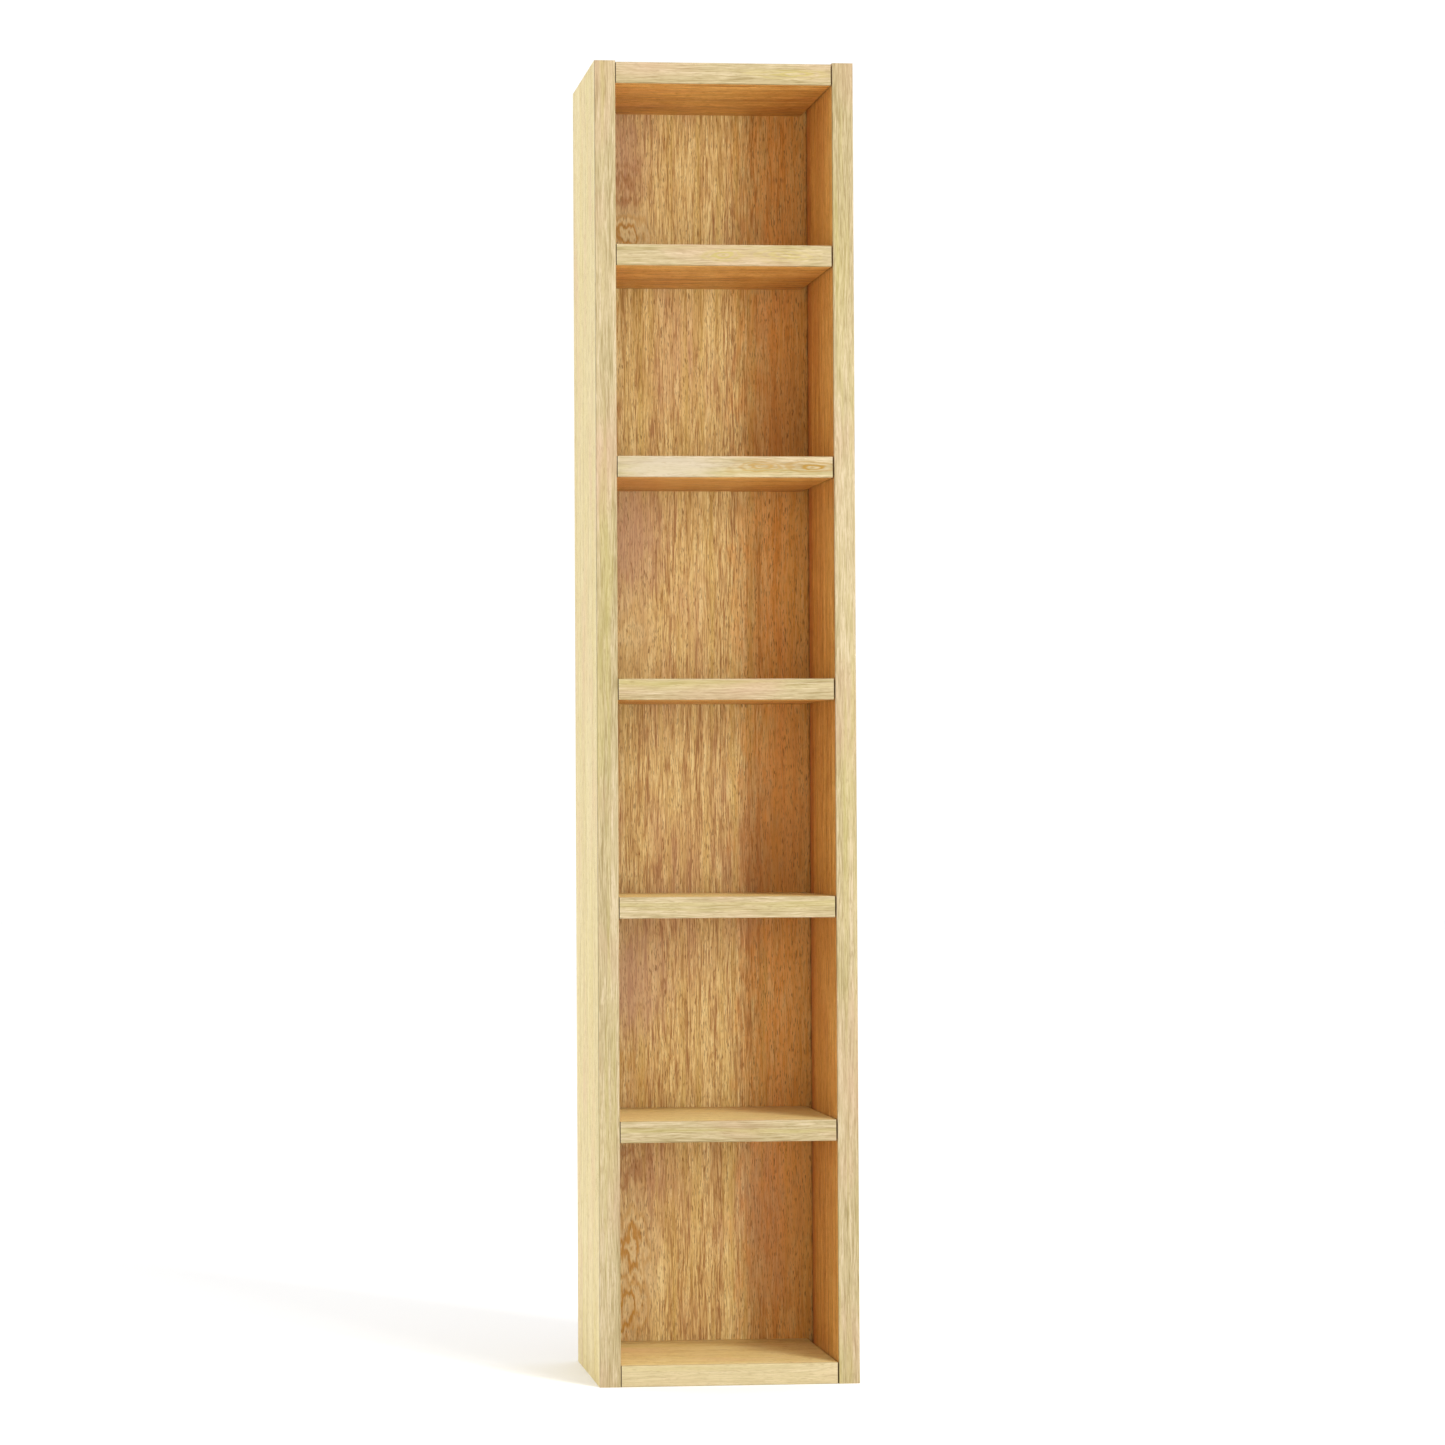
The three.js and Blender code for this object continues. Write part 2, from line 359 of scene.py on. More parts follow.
def oak(name, grain, shift, tones, pores=0.6, contrast=1.0, roughness=0.42, figures_and_painted_light=()):
    """Lacquered oak. tones: dark, middle, light and palest wood, pore, rosy stain, yellow-green year."""
    material, tree = new_material(name)
    place = grain_space(tree, grain)
    tree_place = add(tree, "VectorMath", {0: place, 1: shift}, operation="ADD").outputs[0]
    wander = stretched_noise(tree, tree_place, WANDER_WIDTH, WANDER_LENGTH).outputs["Color"]
    bend = {0: wander, 1: (WANDER, WANDER, 0), 2: tree_place}
    bent = add(tree, "VectorMath", bend, operation="MULTIPLY_ADD").outputs[0]

    line = stretched_noise(tree, bent, LINE_WIDTH, LINE_LENGTH, Detail=3.0, Roughness=0.6).outputs["Fac"]
    fibre = stretched_noise(tree, bent, FIBRE_WIDTH, FIBRE_LENGTH, Detail=3.0).outputs["Fac"]
    year = stretched_noise(tree, bent, YEAR_WIDTH, YEAR_LENGTH)
    cloud = stretched_noise(tree, tree_place, CLOUD_WIDTH, CLOUD_LENGTH).outputs["Fac"]
    pore_noise = stretched_noise(tree, bent, PORE_WIDTH, PORE_LENGTH, Detail=1.0).outputs["Fac"]
    pore = spread(tree, pore_noise, *PORE_RANGE)
    early_wood = spread(tree, fibre, *EARLY_WOOD_RANGE, 0.3, 1.0)
    open_pore = sums(tree, pore, early_wood, operation="MULTIPLY")

    tone = sums(
        tree,
        spread(tree, line, *LINE_RANGE, 0.5 - LINE_TONE * contrast, 0.5 + LINE_TONE * contrast),
        spread(tree, fibre, *FIBRE_RANGE, -FIBRE_TONE * contrast, FIBRE_TONE * contrast),
        spread(tree, year.outputs["Fac"], *YEAR_RANGE, -YEAR_TONE * contrast, YEAR_TONE * contrast),
    )
    ramp = add(tree, "ValToRGB", {"Fac": tone})
    for position in TONE_STOPS[1:3]:
        ramp.color_ramp.elements.new(position)
    ramp.color_ramp.elements[0].position = TONE_STOPS[0]
    ramp.color_ramp.elements[3].position = TONE_STOPS[3]
    for element, colour in zip(ramp.color_ramp.elements, tones):
        element.color = linear(colour)
    rosy = spread(tree, cloud, *PATCH_RANGE, 0.0, ROSY_STRENGTH)
    colour = blend_colour(tree, rosy, ramp.outputs["Color"], linear(tones[5]))
    hue = add(tree, "SeparateXYZ", {0: year.outputs["Color"]}).outputs[1]
    yellow = spread(tree, hue, *PATCH_RANGE, 0.0, YELLOW_STRENGTH)
    colour = blend_colour(tree, yellow, colour, linear(tones[6]))
    for values in figures_and_painted_light:
        colour = figure(tree, place, colour, grain, *values)
    strength = sums(tree, open_pore, pores, operation="MULTIPLY")
    colour = blend_colour(tree, strength, colour, linear(tones[4]))

    sheen = spread(tree, fibre, *SHEEN_RANGE, roughness - 0.05, roughness + 0.07)
    dulling = {0: open_pore, 1: PORE_DULLING, 2: sheen}
    dull = add(tree, "Math", dulling, operation="MULTIPLY_ADD").outputs[0]
    lines = sums(tree, line, LINE_HEIGHT, operation="MULTIPLY")
    height = sums(tree, lines, open_pore, operation="SUBTRACT")
    bump = add(tree, "Bump", {"Height": height, "Strength": GRAIN_BUMP, "Distance": GRAIN_RELIEF})
    shader = add(tree, "BsdfPrincipled", {
        "Base Color": colour,
        "Roughness": dull,
        "IOR": OAK_IOR,
        "Specular IOR Level": OAK_SPECULAR,
        "Coat Weight": LACQUER_WEIGHT,
        "Coat Roughness": LACQUER_ROUGHNESS,
        "Normal": bump.outputs[0],
    })
    add(tree, "OutputMaterial", {"Surface": shader.outputs[0]})
    return material


FACE_OAK = ["#a3682b", "#cd9247", "#e2ab5a", "#f2c274", "#80491c", "#cf8a48", "#cfa04a"]
# UPPER_OAK_PAINTED_LIGHT is a paler copy of FACE_OAK: painted light on the upward faces and the outside
# faces, where the light falls.
UPPER_OAK_PAINTED_LIGHT = ["#c0a462", "#dcc680", "#e8d598", "#f0e0b0", "#9a7840", "#dfb888", "#dcc86c"]
LIPPING_OAK = ["#8c7a50", "#a2926a", "#ae9c76", "#bcab8a", "#846e45", "#b6927a", "#a69b56"]
BACK_OAK = ["#a57638", "#cda562", "#dfc27c", "#f1dc9c", "#7a4a1a", "#cb9a76", "#d4b65c"]

# %% [markdown]
# ## Cut oak
#
# Where a saw or a router has gone across or into a board there is no veneer and hardly any lacquer. The end
# grain drinks in what finish there is and turns dark brown, with the pores as small pits. It gives the thin
# dark lines at the boards' ends. Along the rebate, whose walls are not end grain, the same dark brown is
# painted shade, where the recess lies in shade.

# %% Cut oak material
PIT_WIDTH = 0.8 * MM


def cut_oak():
    """The bare end grain: dark, patchy and full of small pits."""
    material, tree = new_material("oak, cut and unlacquered")
    place = add(tree, "TexCoord").outputs["Object"]
    pits = stretched_noise(tree, place, PIT_WIDTH, PIT_WIDTH).outputs["Fac"]
    patchy = stretched_noise(tree, place, YEAR_WIDTH, YEAR_WIDTH).outputs["Fac"]
    colour = blend_colour(tree, patchy, linear("#5f3a1b"), linear("#7d5129"))
    colour = blend_colour(tree, spread(tree, pits, 0.55, 0.65), colour, linear("#3c220e"))
    bump = add(tree, "Bump", {"Height": pits, "Strength": 0.5, "Distance": GRAIN_RELIEF})
    shader = add(tree, "BsdfPrincipled", {
        "Base Color": colour,
        "Roughness": 0.8,
        "IOR": OAK_IOR,
        "Normal": bump.outputs[0],
    })
    add(tree, "OutputMaterial", {"Surface": shader.outputs[0]})
    return material


# On the rebate walls its dark brown is painted shade.
bare_cut_and_rebate_shade = cut_oak()
print("oak tones:", len(FACE_OAK) + len(UPPER_OAK_PAINTED_LIGHT) + len(LIPPING_OAK) + len(BACK_OAK))

# %% [markdown]
# ## Metal and beech
#
# The pins are nickel-plated steel and the screws are zinc-plated. Both are turned or rolled from wire, so a
# fine turning mark runs round them. The dowels are bare beech, a pale wood with small dark flecks.

# %% Metal and beech materials
BAND_AT_SCALE_ONE = 2 * math.pi / 20
TURNING_PITCH = 0.12 * MM
BEECH_FLECK_WIDTH = 0.5 * MM
BEECH_FLECK_LENGTH = 2.5 * MM


def plated_steel(name, along, colour, dark, roughness):
    material, tree = new_material(name)
    place = add(tree, "TexCoord").outputs["Object"]
    marks = add(tree, "TexWave", {
        "Vector": place,
        "Scale": BAND_AT_SCALE_ONE / TURNING_PITCH,
        "Distortion": 0.6,
    }, wave_type="BANDS", bands_direction=along)
    stain = add(tree, "TexNoise", {"Vector": place, "Scale": 400.0, "Detail": 4.0})
    tint = spread(tree, stain.outputs["Fac"], 0.4, 0.7, 0.0, 0.6)
    shine = spread(tree, stain.outputs["Fac"], 0.3, 0.7, roughness - 0.06, roughness + 0.1)
    bump = add(tree, "Bump", {"Height": marks.outputs["Fac"], "Strength": 0.15, "Distance": 0.01 * MM})
    shader = add(tree, "BsdfPrincipled", {
        "Base Color": blend_colour(tree, tint, linear(colour), linear(dark)),
        "Metallic": 1.0,
        "Roughness": shine,
        "Normal": bump.outputs[0],
    })
    add(tree, "OutputMaterial", {"Surface": shader.outputs[0]})
    return material


def bare_beech(name):
    material, tree = new_material(name)
    place = grain_space(tree, "X")
    fleck = stretched_noise(tree, place, BEECH_FLECK_WIDTH, BEECH_FLECK_LENGTH)
    fibre = stretched_noise(tree, place, FIBRE_WIDTH, FIBRE_LENGTH, Detail=3.0)
    pale = blend_colour(tree, fibre.outputs["Fac"], linear("#d9bd92"), linear("#caa776"))
    flecks = spread(tree, fleck.outputs["Fac"], 0.6, 0.68, 0.0, 0.5)
    bump = add(tree, "Bump", {"Height": fleck.outputs["Fac"], "Strength": 0.2, "Distance": 0.1 * MM})
    shader = add(tree, "BsdfPrincipled", {
        "Base Color": blend_colour(tree, flecks, pale, linear("#9a6b3f")),
        "Roughness": 0.7,
        "IOR": OAK_IOR,
        "Normal": bump.outputs[0],
    })
    add(tree, "OutputMaterial", {"Surface": shader.outputs[0]})
    return material


nickel = plated_steel("nickel-plated steel", "X", "#c9c6bf", "#9f9a90", 0.28)
zinc = plated_steel("zinc-plated steel", "Y", "#c3c6ca", "#9a9ea6", 0.36)
beech = bare_beech("bare beech")
print("materials so far:", [material.name for material in bpy.data.materials][-4:])

# %% [markdown]
# ## Making a board
#
# A board could be a cube with a bevel modifier. Here it is built as a mesh: its section is drawn as a loop of
# points, pushed along its length, and its arrises are eased as sandpaper eases them. What is drilled or
# grooved is then cut with one boolean, and face-weighted normals keep the flat faces flat to the eye.

# %% Board helpers
SANDED_ARRIS = 0.5 * MM
STRIP_ARRIS = 1.0 * MM
EASE_STEPS = 4
ROUND_STEPS = 28
SHARP_ANGLE = math.radians(50)


def as_object(name, bm):
    bmesh.ops.recalc_face_normals(bm, faces=bm.faces[:])
    mesh = bpy.data.meshes.new(name)
    bm.to_mesh(mesh)
    bm.free()
    piece = bpy.data.objects.new(name, mesh)
    scene.collection.objects.link(piece)
    return piece


def apply_modifiers(piece):
    evaluated = piece.evaluated_get(bpy.context.evaluated_depsgraph_get())
    mesh = bpy.data.meshes.new_from_object(evaluated)
    piece.modifiers.clear()
    old = piece.data
    piece.data = mesh
    mesh.name = old.name
    bpy.data.meshes.remove(old)


def smooth_flats(piece):
    """Smooth arrises, and flat faces that look flat."""
    piece.data.polygons.foreach_set("use_smooth", [True] * len(piece.data.polygons))
    piece.data.set_sharp_from_angle(angle=SHARP_ANGLE)
    weighted = piece.modifiers.new("flat faces", "WEIGHTED_NORMAL")
    weighted.keep_sharp = True
    apply_modifiers(piece)


def prism(section, from_z, to_z):
    """A bmesh with the section's outline, pushed up from one height to another."""
    bm = bmesh.new()
    base = bm.faces.new([bm.verts.new((x, y, from_z)) for x, y in section])
    pushed = bmesh.ops.extrude_face_region(bm, geom=[base])
    top = [item for item in pushed["geom"] if isinstance(item, bmesh.types.BMVert)]
    bmesh.ops.translate(bm, verts=top, vec=(0, 0, to_z - from_z))
    return bm


def ease(bm, edges, radius):
    bmesh.ops.bevel(bm, geom=edges, offset=radius, segments=EASE_STEPS, profile=0.5, affect="EDGES")


def box_bm(low, high):
    section = [(low.x, low.y), (high.x, low.y), (high.x, high.y), (low.x, high.y)]
    return prism(section, low.z, high.z)


def bar_bm(bm, start, along, length, radius, end_radius=None):
    """Adds a round bar to a bmesh of cutters, or a taper if its end has a radius of its own."""
    direction = Vector(along).normalized()
    turn_bar = direction.to_track_quat("Z", "Y").to_matrix().to_4x4()
    centre = Matrix.Translation(Vector(start) + direction * length / 2)
    bmesh.ops.create_cone(
        bm, cap_ends=True, segments=ROUND_STEPS, radius1=radius,
        radius2=radius if end_radius is None else end_radius, depth=length, matrix=centre @ turn_bar)


def cut(piece, cutters):
    """Cuts the bmesh of cutters out of the piece."""
    tool = as_object(piece.name + "_cutters", cutters)
    modifier = piece.modifiers.new("cut", "BOOLEAN")
    modifier.operation = "DIFFERENCE"
    modifier.solver = "EXACT"
    modifier.object = tool
    apply_modifiers(piece)
    bpy.data.objects.remove(tool)


def wear(piece, finishes, choose):
    """Gives each face one of the finishes: choose(middle, direction) says which."""
    for finish in finishes:
        piece.data.materials.append(finish)
    for face in piece.data.polygons:
        face.material_index = choose(face.center, face.normal)


def stands_for(piece, node, body):
    """Files a finished piece: what it rides on and what it replaces."""
    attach(piece, body)
    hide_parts(node)


body_of_node = {
    node: body for body, nodes in frame["record"]["behaviour"]["bodies"].items() for node in nodes
}
print("bodies:", sorted(set(body_of_node.values())))

# %% [markdown]
# ## Pins, dowels and screws
#
# The small round pieces are turned: a profile is spun about an axis. The pins keep their plain shape with
# chamfered ends, the dowels get the flutes that let glue escape, and the screws get a thread and the cross
# in the head that a driver needs. The cross takes two cuts, one after the other: cutters that overlap in one
# cut can leave nothing of the piece.

# %% Turned pieces
PIN_CHAMFER = 0.5 * MM
DOWEL_CHAMFER = 1.0 * MM
DOWEL_FLUTES = 18
FLUTE_DEPTH = 0.35 * MM
SCREW_HEAD_HEIGHT = 2.2 * MM
SCREW_SHANK_RADIUS = 1.15 * MM
SCREW_THREAD_RADIUS = 1.6 * MM
SCREW_PITCH = 1.3 * MM
SCREW_TIP = 3.0 * MM
SCREW_TIP_STEPS = 6
SCREW_STEPS_PER_TURN = 8
SCREW_HEAD_RIM = 0.25 * MM
CROSS_ARM = (1.9 * MM, 0.45 * MM)
CROSS_DEPTH = 1.4 * MM
SIDES_PER_FLUTE = 6


def spin(name, profile, axis, centre, sides=ROUND_STEPS, shape=None):
    """Spins a profile of (distance along, radius) about an axis through the centre.

    shape(angle, along, radius) may give each point a radius of its own.
    """
    bm = bmesh.new()
    rings = []
    for along, radius in profile:
        ring = []
        for side in range(sides):
            angle = 2 * math.pi * side / sides
            own = shape(angle, along, radius) if shape else radius
            across = (own * math.cos(angle), own * math.sin(angle))
            place = {"X": (along, *across), "Y": (across[0], along, across[1])}[axis]
            ring.append(bm.verts.new(centre + Vector(place)))
        rings.append(ring)
    for ring, following in zip(rings, rings[1:]):
        for side in range(sides):
            next_side = (side + 1) % sides
            bm.faces.new([ring[side], ring[next_side], following[next_side], following[side]])
    bm.faces.new(rings[0])
    bm.faces.new(rings[-1])
    return as_object(name, bm)


def chamfered(length, radius, chamfer, steps=1):
    half = length / 2
    body = [(-half + chamfer + (length - 2 * chamfer) * step / steps, radius) for step in range(steps + 1)]
    return [(-half, radius - chamfer), *body, (half, radius - chamfer)]


def make_pin(node):
    low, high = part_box(node)
    radius = (high.z - low.z) / 2
    profile = chamfered(high.x - low.x, radius, PIN_CHAMFER)
    piece = spin(f"{node}_turned", profile, "X", (low + high) / 2)
    smooth_flats(piece)
    piece.data.materials.append(nickel)
    stands_for(piece, node, body_of_node[node])


def fluted(angle, along, radius):
    return radius - FLUTE_DEPTH * (0.5 - 0.5 * math.cos(angle * DOWEL_FLUTES)) ** 3


def make_dowel(node):
    low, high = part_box(node)
    radius = (high.z - low.z) / 2
    profile = chamfered(high.x - low.x, radius, DOWEL_CHAMFER)
    sides = DOWEL_FLUTES * SIDES_PER_FLUTE
    piece = spin(f"{node}_fluted", profile, "X", (low + high) / 2, sides=sides, shape=fluted)
    smooth_flats(piece)
    piece.data.materials.append(beech)
    stands_for(piece, node, body_of_node[node])


def make_screw(node):
    low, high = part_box(node)
    head_radius = (high.z - low.z) / 2
    length = high.y - low.y
    threaded = length - SCREW_HEAD_HEIGHT - SCREW_TIP
    steps = round(threaded / SCREW_PITCH * SCREW_STEPS_PER_TURN)
    tip = [
        (-length + SCREW_TIP * step / SCREW_TIP_STEPS, SCREW_THREAD_RADIUS * step / SCREW_TIP_STEPS)
        for step in range(1, SCREW_TIP_STEPS)
    ]
    shank = [
        (-length + SCREW_TIP + threaded * step / steps, SCREW_THREAD_RADIUS) for step in range(steps + 1)
    ]
    head = [(-SCREW_HEAD_RIM, head_radius), (0.0, head_radius)]

    def thread(angle, along, radius):
        """The radius at one point: it climbs to a crest once in each turn."""
        if along > -SCREW_HEAD_HEIGHT - SCREW_PITCH or radius > SCREW_THREAD_RADIUS:
            return min(radius, SCREW_SHANK_RADIUS) if radius <= SCREW_THREAD_RADIUS else radius
        turn_part = (along / SCREW_PITCH + angle / (2 * math.pi)) % 1.0
        crest = max(0.0, 1.0 - abs(turn_part - 0.5) * 4)
        crest_radius = SCREW_SHANK_RADIUS + (SCREW_THREAD_RADIUS - SCREW_SHANK_RADIUS) * crest
        return radius * crest_radius / SCREW_THREAD_RADIUS

    centre = Vector(((low.x + high.x) / 2, high.y, (low.z + high.z) / 2))
    piece = spin(f"{node}_threaded", [*tip, *shank, *head], "Y", centre, shape=thread)
    for half_x, half_z in (CROSS_ARM, CROSS_ARM[::-1]):
        blade_low = Vector((-half_x, -CROSS_DEPTH, -half_z))
        blade = box_bm(blade_low, -blade_low)
        bmesh.ops.translate(blade, verts=blade.verts[:], vec=centre)
        cut(piece, blade)
    smooth_flats(piece)
    piece.data.materials.append(zinc)
    stands_for(piece, node, body_of_node[node])


pins = [node for node in frame["nodes"] if node.startswith("shelf_pin")]
dowels = [node for node in frame["nodes"] if node.startswith("dowel")]
screws = [node for node in frame["nodes"] if node.startswith("back_screw")]
for node in pins:
    make_pin(node)
for node in dowels:
    make_dowel(node)
for node in screws:
    make_screw(node)
print("turned:", len(pins), "pins,", len(dowels), "dowels,", len(screws), "screws")

# %% [markdown]
# ## The sides
#
# Each side is one veneered board with a wide rebate along the rear of its inner face. The shelf pins and the
# dowels sit in blind holes. The section is an L drawn once and mirrored. A redder zone of painted shade runs
# down the inner face beside the rebate, where the corner lies in shade, and the outer face wears the paler
# copy of the oak, which is painted light.

# %% Sides
REBATE_START = 131 * MM
REBATE_DEPTH = 8 * MM
HOLE_CLEARANCE = 0.2 * MM
HOLE_EXTRA_DEPTH = 1.0 * MM
OVERCUT = 2 * MM
# A redder zone of painted shade down each inner face, beside the rebate, where the corner lies in shade.
SHOULDER_SHADE_WIDTH = 22 * MM
SHOULDER_SHADE_TINT = "#a84c1e"
SHOULDER_SHADE_STRENGTH = 0.6
END_FACING = 0.9
SIDEWAYS_FACING = 0.3


def middle_of(node):
    low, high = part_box(node)
    return (low + high) / 2


def drill_for(bm, nodes, outward, face_x):
    """Adds a blind hole for each pin or dowel, from the face outward."""
    for node in nodes:
        low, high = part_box(node)
        radius = (high.z - low.z) / 2 + HOLE_CLEARANCE
        centre = (low + high) / 2
        reach = max(abs(low.x), abs(high.x)) - abs(face_x) + HOLE_EXTRA_DEPTH
        start = (face_x - outward * OVERCUT, centre.y, centre.z)
        bar_bm(bm, start, (outward, 0, 0), reach + OVERCUT, radius)


def make_side(side, outward, shift):
    node = f"side_{side}"
    low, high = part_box(node)
    inner = low.x if outward > 0 else high.x
    outer = high.x if outward > 0 else low.x
    shoulder_y = front_y + REBATE_START
    section = [
        (inner, low.y), (inner, shoulder_y), (inner + outward * REBATE_DEPTH, shoulder_y),
        (inner + outward * REBATE_DEPTH, high.y), (outer, high.y), (outer, low.y),
    ]
    bm = prism(section, low.z, high.z)
    sanded = [edge for edge in bm.edges if min(v.co.y for v in edge.verts) > low.y + MM]
    ease(bm, sanded, SANDED_ARRIS)
    piece = as_object(f"{node}_board", bm)
    holes = bmesh.new()
    own = [name for name in pins + dowels if f"_{side}" in name]
    drill_for(holes, own, outward, inner)
    cut(piece, holes)
    smooth_flats(piece)
    # The redder zone beside the rebate is painted shade.
    shoulder_size = (SHOULDER_SHADE_WIDTH, high.z * 2)
    shoulder = ((inner, shoulder_y, middle.z), shoulder_size, 0, SHOULDER_SHADE_TINT, SHOULDER_SHADE_STRENGTH)
    finish = oak(f"oak veneer, {side} side", "Z", shift, FACE_OAK, contrast=1.4, figures_and_painted_light=[shoulder])
    # The outer face takes the paler copy of the oak: painted light.
    outside = oak(f"oak veneer, outside of {side} side", "Z", shift, UPPER_OAK_PAINTED_LIGHT)
    rebate_x = abs(inner) + REBATE_DEPTH + SANDED_ARRIS / 2

    def choose(point, normal):
        """0 for the inner face, 1 for the cut ends and the rebate, whose dark cut oak is painted shade, 2 for
        the outer face and the rear.
        """
        if abs(normal.z) > END_FACING or (point.y > shoulder_y - SANDED_ARRIS and abs(point.x) < rebate_x):
            return 1
        return 2 if normal.x * outward > SIDEWAYS_FACING or normal.y > SIDEWAYS_FACING else 0

    wear(piece, [finish, bare_cut_and_rebate_shade, outside], choose)
    stands_for(piece, node, body_of_node[node])
    print(node, "has", len(own), "blind holes")


make_side("left", -1, (0.31, 0.17, 0.4))
make_side("right", 1, (-0.19, 0.23, 1.3))

# %% [markdown]
# ## Top, bottom and shelves
#
# The fixed boards take dowels in their ends. The loose ones have a groove in each end instead, routed from
# the rear and stopped short of the front, so that a shelf slides onto its pins and hides them. The upper
# faces take a paler copy of the oak than the faces below: painted light, where the light from above falls.

# %% Boards between the sides
GROOVE_DEPTH = 9 * MM
GROOVE_HEIGHT = 5.5 * MM
GROOVE_STOP = 26 * MM
GROOVE_END_STEPS = 12
UP_FACING = 0.7
PILOT_RADIUS = 1.8 * MM
PILOT_DEPTH = 12 * MM


def board_face(point, normal):
    """0 for the underside and the rear, 1 for a cut end, 2 for the upper face."""
    if abs(normal.x) > END_FACING:
        return 1
    return 2 if normal.z > UP_FACING else 0


def plain_board(node):
    low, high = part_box(node)
    bm = box_bm(low, high)
    sanded = [edge for edge in bm.edges if min(v.co.y for v in edge.verts) > low.y + MM]
    ease(bm, sanded, SANDED_ARRIS)
    return as_object(f"{node}_board", bm)


def finish_board(piece, node, shift):
    under = oak(f"oak veneer, under {node}", "X", shift, FACE_OAK, contrast=1.4)
    # The upper faces take the paler copy of the oak: painted light.
    upper = oak(f"oak veneer, on {node}", "X", shift, UPPER_OAK_PAINTED_LIGHT, contrast=0.8)
    wear(piece, [under, bare_cut_and_rebate_shade, upper], board_face)
    stands_for(piece, node, body_of_node[node])


def make_fixed_board(level, shift):
    node = f"{level}_panel"
    low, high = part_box(node)
    piece = plain_board(node)
    holes = bmesh.new()
    for dowel in dowels:
        if f"_{level}_" in dowel:
            dowel_low, dowel_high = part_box(dowel)
            centre = (dowel_low + dowel_high) / 2
            outward = 1 if centre.x > 0 else -1
            inner_end = min(abs(dowel_low.x), abs(dowel_high.x)) - HOLE_EXTRA_DEPTH
            start = (outward * inner_end, centre.y, centre.z)
            bar_bm(holes, start, (outward, 0, 0), high.x - inner_end + OVERCUT,
                   (dowel_high.z - dowel_low.z) / 2 + HOLE_CLEARANCE)
    for screw in screws:
        if f"_{level}_" in screw:
            centre = middle_of(screw)
            start = (centre.x, high.y + OVERCUT, centre.z)
            bar_bm(holes, start, (0, -1, 0), PILOT_DEPTH + OVERCUT, PILOT_RADIUS)
    cut(piece, holes)
    smooth_flats(piece)
    finish_board(piece, node, shift)


def make_shelf(index):
    node = f"shelf_{index}"
    low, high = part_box(node)
    piece = plain_board(node)
    middle_z = (low.z + high.z) / 2
    stop_y = front_y + GROOVE_STOP + GROOVE_HEIGHT / 2
    grooves = bmesh.new()
    for end_x, outward in ((low.x, -1), (high.x, 1)):
        floor_x = end_x - outward * GROOVE_DEPTH
        mouth_x = end_x + outward * OVERCUT
        outline = [(stop_y, -GROOVE_HEIGHT / 2), (high.y + OVERCUT, -GROOVE_HEIGHT / 2),
                   (high.y + OVERCUT, GROOVE_HEIGHT / 2), (stop_y, GROOVE_HEIGHT / 2)]
        for step in range(1, GROOVE_END_STEPS):
            angle = math.pi / 2 + math.pi * step / GROOVE_END_STEPS
            outline.append(
                (stop_y + GROOVE_HEIGHT / 2 * math.cos(angle), GROOVE_HEIGHT / 2 * math.sin(angle)))
        floor_loop = [grooves.verts.new((floor_x, y, middle_z + z)) for y, z in outline]
        mouth_loop = [grooves.verts.new((mouth_x, y, middle_z + z)) for y, z in outline]
        grooves.faces.new(floor_loop)
        grooves.faces.new(mouth_loop[::-1])
        for place in range(len(outline)):
            following = (place + 1) % len(outline)
            grooves.faces.new(
                [floor_loop[place], floor_loop[following], mouth_loop[following], mouth_loop[place]])
    cut(piece, grooves)
    smooth_flats(piece)
    shift = (0.11 * index, -0.07 * index - 0.2, 0.37 * index)
    finish_board(piece, node, shift)


make_fixed_board("bottom", (0.2, 0.1, 0.7))
make_fixed_board("top", (-0.26, 0.14, 0.2))
SHELF_COUNT = len([node for node in frame["nodes"] if node.startswith("shelf_") and "pin" not in node])
for index in range(1, SHELF_COUNT + 1):
    make_shelf(index)
print("boards between the sides:", SHELF_COUNT + 2)

# %% [markdown]
# ## The front strips
#
# A 2 mm strip of solid oak hides each board's front edge. It is paler than the faces, because it was cut from
# another board, and its two front arrises are rounded to 1 mm, so they catch the light.

# %% Front strips
STRIP_FIGURES_AND_PAINTED_LIGHT = {
    "lipping_shelf_5": [
        ((0.0, front_y, 0.958), (7 * MM, 26 * MM), 3, "#a89a4e", 0.7),
        ((0.05, front_y, 0.958), (9 * MM, 40 * MM), 4, "#ad9d55", 0.5),
    ],
    "lipping_shelf_4": [
        ((0.075, front_y, 0.778), (7 * MM, 30 * MM), 3, "#96701e", 1.0),
        ((0.03, front_y, 0.778), (9 * MM, 34 * MM), 4, "#a07c38", 0.8),
        ((-0.05, front_y, 0.778), (20 * MM, 70 * MM), 0, "#b8aa94", 0.7),
    ],
    # The long pale patch on the bottom strip is painted light, brightening the lowest strip.
    "lipping_bottom": [((0.0, front_y, 0.009), (30 * MM, 400 * MM), 0, "#cdbd92", 0.5)],
    "lipping_top": [((0.06, front_y, 1.113), (6 * MM, 50 * MM), 3, "#a8994a", 0.6)],
}


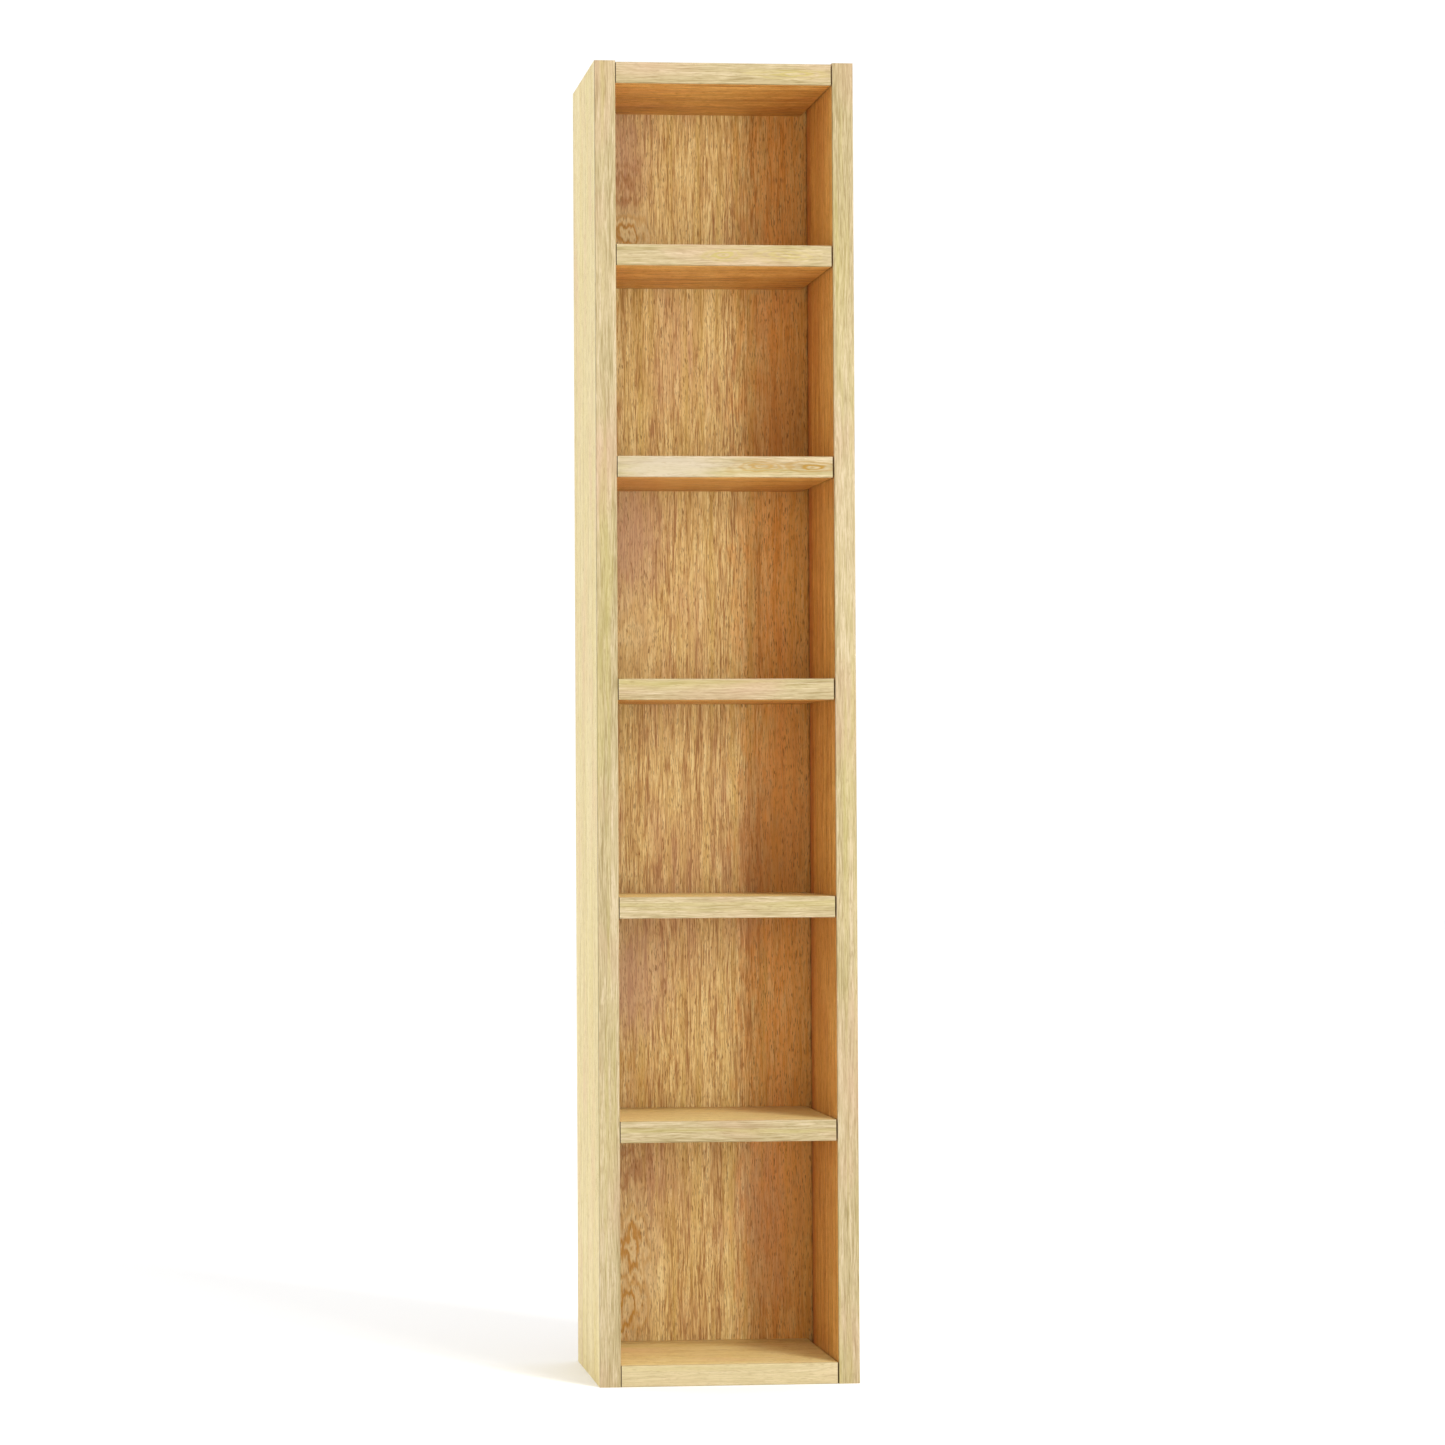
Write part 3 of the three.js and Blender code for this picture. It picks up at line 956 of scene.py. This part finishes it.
def make_strip(node, shift):
    low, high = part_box(node)
    size = high - low
    upright = size.z > size.x
    bm = box_bm(low, high)
    along = 2 if upright else 0
    long_front = []
    ends = []
    for edge in bm.edges:
        first, second = edge.verts
        runs_along = abs(first.co[along] - second.co[along]) > size[along] / 2
        at_front = max(first.co.y, second.co.y) < low.y + 0.1 * MM
        if runs_along and at_front:
            long_front.append(edge)
        elif at_front:
            ends.append(edge)
    ease(bm, long_front, STRIP_ARRIS)
    piece = as_object(f"{node}_strip", bm)
    smooth_flats(piece)
    finish = oak(f"pale oak strip, {node[8:]}", "Z" if upright else "X", shift, LIPPING_OAK, pores=0.35,
                 figures_and_painted_light=STRIP_FIGURES_AND_PAINTED_LIGHT.get(node, ()))
    wear(piece, [finish, bare_cut_and_rebate_shade], lambda point, normal: int(abs(normal.x) > 0.9 and not upright))
    stands_for(piece, node, body_of_node[node])


strips = sorted(node for node in frame["nodes"] if node.startswith("lipping"))
for place, node in enumerate(strips):
    make_strip(node, (0.05 + 0.13 * place, 0.21 - 0.09 * place, 0.41 * place))
print("front strips:", len(strips))

# %% [markdown]
# ## The back panel
#
# A thin veneered panel stands in the rebates. It is the piece that is seen most, so its oak is worked
# hardest: a plain straight grain in the middle and flames along its left part. Rosy patches at the upper left
# of the compartments are painted sheen and shade, and plain russet patches near the left edge and at the
# lower right are painted shade. Its right third, in the right side's shadow, is more orange: partly a warmer
# leaf, partly painted shade. A thin dark line of painted shade runs down its right edge, where the recess
# beside the rebate lies in shade. The rear face is a leaf of its own, with no figure on it. The screw heads
# get countersinks.

# %% Back panel
COUNTERSINK_CLEARANCE = 0.7 * MM
COUNTERSINK_START = 0.3 * MM
BACK_HOLE_LENGTH = 5 * OVERCUT
REAR_FACING = 0.7
# A pinkish tint of painted sheen and shade, for the upper left of the compartments.
ROSY_PAINTED_SHEEN_AND_SHADE = "#c49a76"
# A russet tint: a figure where it has rings, and painted shade where it has none.
RUSSET_FIGURE_AND_PAINTED_SHADE = "#a3682e"
AMBER = "#bd8418"
CREAM = "#eddaa2"
# A deep orange: partly a warmer leaf, partly painted shade for the right side's shadow.
WARM_LEAF_AND_PAINTED_SHADE = "#faa63e"
# A near-black tint of painted shade, for the recess beside the rebate.
PAINTED_REBATE_SHADE = "#2c1405"


def back_figures_and_painted_light(face_y):
    """Each figure and patch of painted sheen and shade on the panel: middle, half width and half length,
    rings, tint, strength.
    """
    at = [
        # The right third is more orange: partly a warmer leaf, partly painted shade in the right side's
        # shadow.
        ((0.088, 0.56), (62, 1900), 0, WARM_LEAF_AND_PAINTED_SHADE, 0.6),
        # A thin dark line of painted shade down the right edge, where the recess beside the rebate lies in
        # shade.
        ((0.0995, 0.56), (3.2, 1900), 0, PAINTED_REBATE_SHADE, 1.0),
        # The rosy patches at the upper left of the compartments are painted sheen and shade.
        ((-0.075, 1.070), (44, 80), 0, ROSY_PAINTED_SHEEN_AND_SHADE, 0.7),
        ((-0.070, 1.036), (30, 34), 3, RUSSET_FIGURE_AND_PAINTED_SHADE, 0.6),
        ((-0.062, 0.996), (30, 34), 0, CREAM, 0.9),
        ((-0.062, 0.996), (26, 28), 3, AMBER, 0.9),
        # Russet patches without rings, here and below, are painted shade near the left edge and at the lower
        # right.
        ((-0.088, 0.870), (24, 110), 0, RUSSET_FIGURE_AND_PAINTED_SHADE, 0.5),
        ((0.075, 0.835), (44, 90), 0, RUSSET_FIGURE_AND_PAINTED_SHADE, 0.35),
        ((-0.065, 0.720), (44, 70), 0, ROSY_PAINTED_SHEEN_AND_SHADE, 0.7),
        ((-0.060, 0.640), (34, 50), 0, CREAM, 0.5),
        ((-0.060, 0.640), (28, 50), 2, AMBER, 0.35),
        ((-0.088, 0.500), (24, 80), 0, RUSSET_FIGURE_AND_PAINTED_SHADE, 0.4),
        ((0.055, 0.440), (40, 90), 0, RUSSET_FIGURE_AND_PAINTED_SHADE, 0.35),
        ((-0.065, 0.335), (44, 70), 0, ROSY_PAINTED_SHEEN_AND_SHADE, 0.7),
        ((-0.065, 0.240), (30, 50), 2, AMBER, 0.4),
        ((-0.070, 0.172), (34, 50), 3, RUSSET_FIGURE_AND_PAINTED_SHADE, 0.6),
        ((-0.064, 0.080), (34, 80), 0, CREAM, 0.8),
        ((-0.064, 0.100), (24, 50), 3, AMBER, 0.9),
        ((-0.070, 0.045), (30, 44), 3, AMBER, 0.9),
        ((0.065, 0.090), (44, 90), 0, RUSSET_FIGURE_AND_PAINTED_SHADE, 0.25),
    ]
    return [
        ((x, face_y, z), (half_width * MM, half_length * MM), rings, tint, strength)
        for (x, z), (half_width, half_length), rings, tint, strength in at
    ]


def make_back():
    node = "back_panel"
    low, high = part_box(node)
    bm = box_bm(low, high)
    ease(bm, bm.edges[:], SANDED_ARRIS)
    piece = as_object("back_panel_board", bm)
    holes = bmesh.new()
    countersinks = bmesh.new()
    for screw in screws:
        screw_low, screw_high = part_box(screw)
        centre = (screw_low + screw_high) / 2
        mouth = Vector((centre.x, high.y, centre.z))
        bar_bm(holes, mouth + Vector((0, OVERCUT, 0)), (0, -1, 0), BACK_HOLE_LENGTH, PILOT_RADIUS)
        sink_radius = (screw_high.z - screw_low.z) / 2 + COUNTERSINK_CLEARANCE
        sink_start = mouth + Vector((0, COUNTERSINK_START, 0))
        bar_bm(countersinks, sink_start, (0, -1, 0), COUNTERSINK_START + SCREW_HEAD_HEIGHT, sink_radius,
               PILOT_RADIUS)
    cut(piece, holes)
    cut(piece, countersinks)
    smooth_flats(piece)
    finish = oak("oak veneer, back panel", "Z", (0.07, -0.05, 0.9), BACK_OAK, pores=0.7, contrast=1.25,
                 figures_and_painted_light=back_figures_and_painted_light(low.y))
    rear = oak("oak veneer, rear of the back panel", "Z", (0.4, 0.3, 0.1), BACK_OAK)
    wear(piece, [finish, rear], lambda point, normal: int(normal.y > REAR_FACING))
    stands_for(piece, node, body_of_node[node])


make_back()
